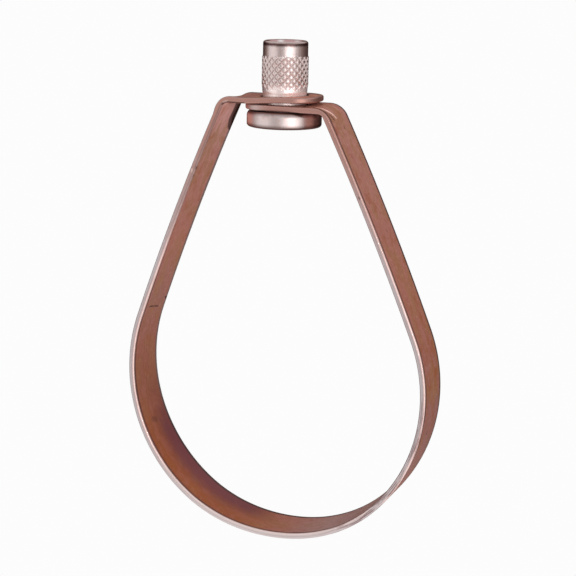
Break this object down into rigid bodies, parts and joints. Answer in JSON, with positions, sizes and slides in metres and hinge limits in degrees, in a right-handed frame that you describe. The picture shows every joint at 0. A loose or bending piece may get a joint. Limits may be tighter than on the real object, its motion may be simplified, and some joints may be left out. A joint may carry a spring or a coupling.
{
  "type": "swivel ring hanger",
  "caption": "Ring hanger for a copper tube: a flat steel band bent to a teardrop, whose overlapped tabs swivel on a flanged, knurled nut that screws on a ceiling rod",
  "frame": {"origin": "The middle of the nut's top face, on the nut's axis, where the rod enters its bore.", "axes": "+Z is the nut's axis and points up along the rod. The tube's axis is Y, and the front of the ring faces -Y. +X is on the right of someone who looks at the front, on the side where the upper tab has its free end."},
  "size_m": [0.1087, 0.0254, 0.1729],
  "materials": {
    "ring_copper": "thin copper plate on rolled strip, satin, with heat tarnish and light wear",
    "nut_copper": "thin bright copper plate on turned steel"
  },
  "bodies": {
    "nut": {"swivel_nut": "nut_copper"},
    "ring": {"ring_band": "ring_copper"}
  },
  "joints": [
    {"name": "ring_swivel", "type": "hinge", "parent": "nut", "child": "ring", "pos_m": [0, 0, -0.0215], "axis": [0, 0, 1], "continuous": true}
  ]
}
